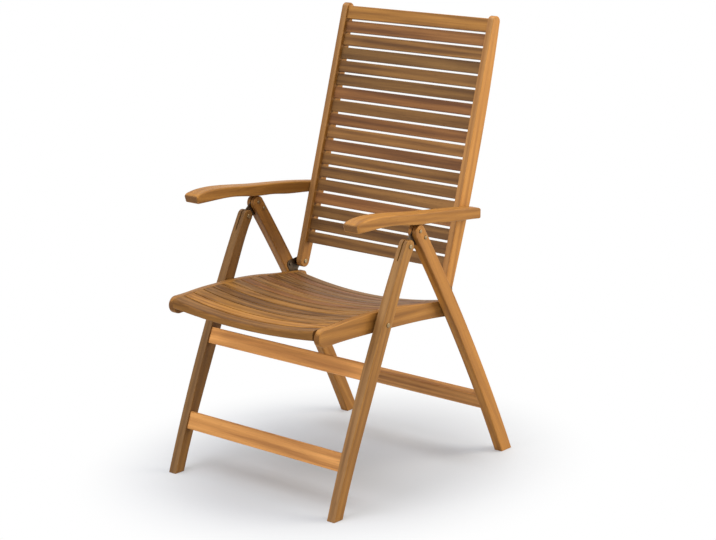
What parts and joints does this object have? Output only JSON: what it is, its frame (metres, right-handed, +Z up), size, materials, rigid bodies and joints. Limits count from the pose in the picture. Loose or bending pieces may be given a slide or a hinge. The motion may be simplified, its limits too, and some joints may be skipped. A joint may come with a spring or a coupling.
{
  "type": "folding garden armchair",
  "caption": "Slatted wooden folding armchair with crossed-leg frame, dished seat, tall leaning back and curved armrests on steel hinge plates.",
  "frame": {"origin": "on the floor under the middle of the overall box, chair upright and open", "axes": "+Z up, -Y towards the front of the seat, +X towards the sitter's left"},
  "size_m": [0.548, 0.72, 1.1083],
  "materials": {
    "frame_wood": "oiled",
    "slat_wood": "oiled",
    "steel": "dull zinc"
  },
  "bodies": {
    "rear_frame": {"rear_leg_left": "frame_wood", "rear_leg_right": "frame_wood", "rear_stretcher": "frame_wood", "leg_hinge_plate_left": "steel", "leg_hinge_plate_right": "steel", "leg_hinge_rivets": "steel", "back_hinge_plate_left": "steel", "back_hinge_plate_right": "steel", "back_hinge_screws": "steel"},
    "front_frame": {"front_leg_left": "frame_wood", "front_leg_right": "frame_wood", "upper_front_stretcher": "frame_wood", "lower_front_stretcher": "frame_wood", "leg_pivot_rivets": "steel"},
    "seat": {"seat_rail_left": "frame_wood", "seat_rail_right": "frame_wood", "seat_nose_slat": "slat_wood", "seat_slat_01": "slat_wood", "seat_slat_02": "slat_wood", "seat_slat_03": "slat_wood", "seat_slat_04": "slat_wood", "seat_slat_05": "slat_wood", "seat_slat_06": "slat_wood", "seat_slat_07": "slat_wood", "seat_slat_08": "slat_wood", "seat_slat_09": "slat_wood", "seat_slat_10": "slat_wood", "seat_slat_11": "slat_wood", "seat_slat_12": "slat_wood", "seat_slat_13": "slat_wood", "seat_bolts": "steel", "seat_spacers": "steel"},
    "back": {"back_stile_left": "frame_wood", "back_stile_right": "frame_wood", "back_top_rail": "slat_wood", "back_slat_01": "slat_wood", "back_slat_02": "slat_wood", "back_slat_03": "slat_wood", "back_slat_04": "slat_wood", "back_slat_05": "slat_wood", "back_slat_06": "slat_wood", "back_slat_07": "slat_wood", "back_slat_08": "slat_wood", "back_slat_09": "slat_wood", "back_slat_10": "slat_wood", "back_slat_11": "slat_wood", "back_slat_12": "slat_wood", "back_slat_13": "slat_wood", "back_slat_14": "slat_wood", "back_slat_15": "slat_wood", "back_slat_16": "slat_wood", "back_slat_17": "slat_wood", "back_pivot_pins": "steel"},
    "arm_left": {"armrest_left": "frame_wood", "arm_pivot_pin_left": "steel"},
    "arm_right": {"armrest_right": "frame_wood", "arm_pivot_pin_right": "steel"}
  },
  "joints": [
    {"name": "leg_fold", "type": "hinge", "parent": "rear_frame", "child": "front_frame", "pos_m": [0, -0.067, 0.6055], "axis": [1, 0, 0], "range_deg": [0, 50]},
    {"name": "seat_fold", "type": "hinge", "parent": "front_frame", "child": "seat", "pos_m": [0, -0.1484, 0.4329], "axis": [1, 0, 0], "range_deg": [-95.5, 0]},
    {"name": "back_fold", "type": "hinge", "parent": "rear_frame", "child": "back", "pos_m": [0, 0.1205, 0.46], "axis": [1, 0, 0], "range_deg": [0, 46]},
    {"name": "arm_fold_left", "type": "hinge", "parent": "back", "child": "arm_left", "pos_m": [0, 0.1785, 0.644], "axis": [1, 0, 0], "range_deg": [-83, 0]},
    {"name": "arm_fold_right", "type": "hinge", "parent": "back", "child": "arm_right", "pos_m": [0, 0.1785, 0.644], "axis": [1, 0, 0], "range_deg": [-83, 0]}
  ],
  "couplings": [
    {"joint": "seat_fold", "follows": "leg_fold", "ratio": -1.9},
    {"joint": "arm_fold_left", "follows": "back_fold", "ratio": -1.8},
    {"joint": "arm_fold_right", "follows": "back_fold", "ratio": -1.8}
  ]
}
